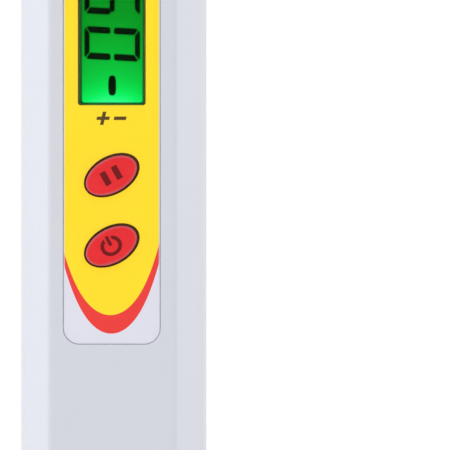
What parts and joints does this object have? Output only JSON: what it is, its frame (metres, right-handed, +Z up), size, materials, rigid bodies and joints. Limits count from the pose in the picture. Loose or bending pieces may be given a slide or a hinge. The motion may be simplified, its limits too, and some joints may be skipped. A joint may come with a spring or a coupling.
{
  "type": "digital ph meter",
  "caption": "Pen-type digital meter with a rotated lit display, oval hold and power keys, a battery door at the back and a storage cap over its slotted electrode guard.",
  "frame": {"origin": "middle of the storage cap's flat base, on the surface that the capped meter stands on", "axes": "+X to the reader's right when facing the display, +Y from the face to the back, +Z up along the pen"},
  "size_m": [0.038, 0.0305, 0.185],
  "materials": {
    "casing": "satin moulded ABS",
    "cap": "satin moulded ABS",
    "label": "printed gloss film",
    "window": "clear, gloss",
    "key": "satin red",
    "dark_plastic": "satin black",
    "lcd_glass": "gloss",
    "backlight": "lit green",
    "conductive_rubber": "matt",
    "circuit_board": "green solder mask",
    "resin": "gloss black drop",
    "component": "mixed small parts",
    "switch_metal": "satin",
    "trimmer_blue": "moulded blue",
    "brass": "bright",
    "cell_wrap": "printed sleeve, plain",
    "nickel": "plated spring steel",
    "wire_red": "insulated",
    "screw_steel": "zinc plated",
    "seal_rubber": "matt black",
    "grey_plastic": "satin",
    "stem_glass": "clear",
    "platinum": "bright",
    "white_ceramic": "porous",
    "silver": "dull chlorided silver",
    "cable_grey": "insulated"
  },
  "bodies": {
    "cap": {"storage_cap": "cap"},
    "housing": {"front_shell": "casing", "rear_shell": "casing", "face_label": "label", "display_window": "window", "hold_switch": "switch_metal", "power_switch": "switch_metal", "lcd_bezel": "dark_plastic", "lcd_front_glass": "lcd_glass", "lcd_rear_glass": "lcd_glass", "lcd_connector_strip": "conductive_rubber", "backlight_panel": "backlight", "backlight_leds": "backlight", "circuit_board": "circuit_board", "chip_on_board": "resin", "smd_components": "component", "trimmer_body": "trimmer_blue", "battery_left": "cell_wrap", "battery_right": "cell_wrap", "battery_springs": "nickel", "bridge_contact": "nickel", "positive_terminal": "nickel", "negative_terminal": "nickel", "battery_wires": "wire_red", "case_screws": "screw_steel", "pcb_screws": "screw_steel", "electrode_collar": "grey_plastic", "collar_seal": "seal_rubber", "electrode_bush": "seal_rubber", "electrode_guard": "grey_plastic", "glass_stem": "stem_glass", "platinum_pin": "platinum", "reference_junction": "white_ceramic", "reference_wire": "silver", "electrode_head": "dark_plastic", "electrode_cable": "cable_grey"},
    "hold_button": {"hold_key": "key", "hold_plunger": "dark_plastic"},
    "power_button": {"power_key": "key", "power_plunger": "dark_plastic"},
    "door": {"battery_door": "casing"},
    "trimmer": {"trimmer_screw": "brass"}
  },
  "joints": [
    {"name": "cap_slide", "type": "slide", "parent": "cap", "child": "housing", "axis": [0, 0, 1], "range_m": [0, 0.06]},
    {"name": "hold_press", "type": "slide", "parent": "housing", "child": "hold_button", "axis": [0, 1, 0], "range_m": [0, 0.0003], "stiffness_N_per_m": 1500},
    {"name": "power_press", "type": "slide", "parent": "housing", "child": "power_button", "axis": [0, 1, 0], "range_m": [0, 0.0003], "stiffness_N_per_m": 1500},
    {"name": "door_hinge", "type": "hinge", "parent": "housing", "child": "door", "pos_m": [0, 0.015, 0.104], "axis": [-1, 0, 0], "range_deg": [0, 70]},
    {"name": "trimmer_turn", "type": "hinge", "parent": "housing", "child": "trimmer", "pos_m": [0, 0.001, 0.08], "axis": [0, 1, 0], "range_deg": [-135, 135]}
  ]
}
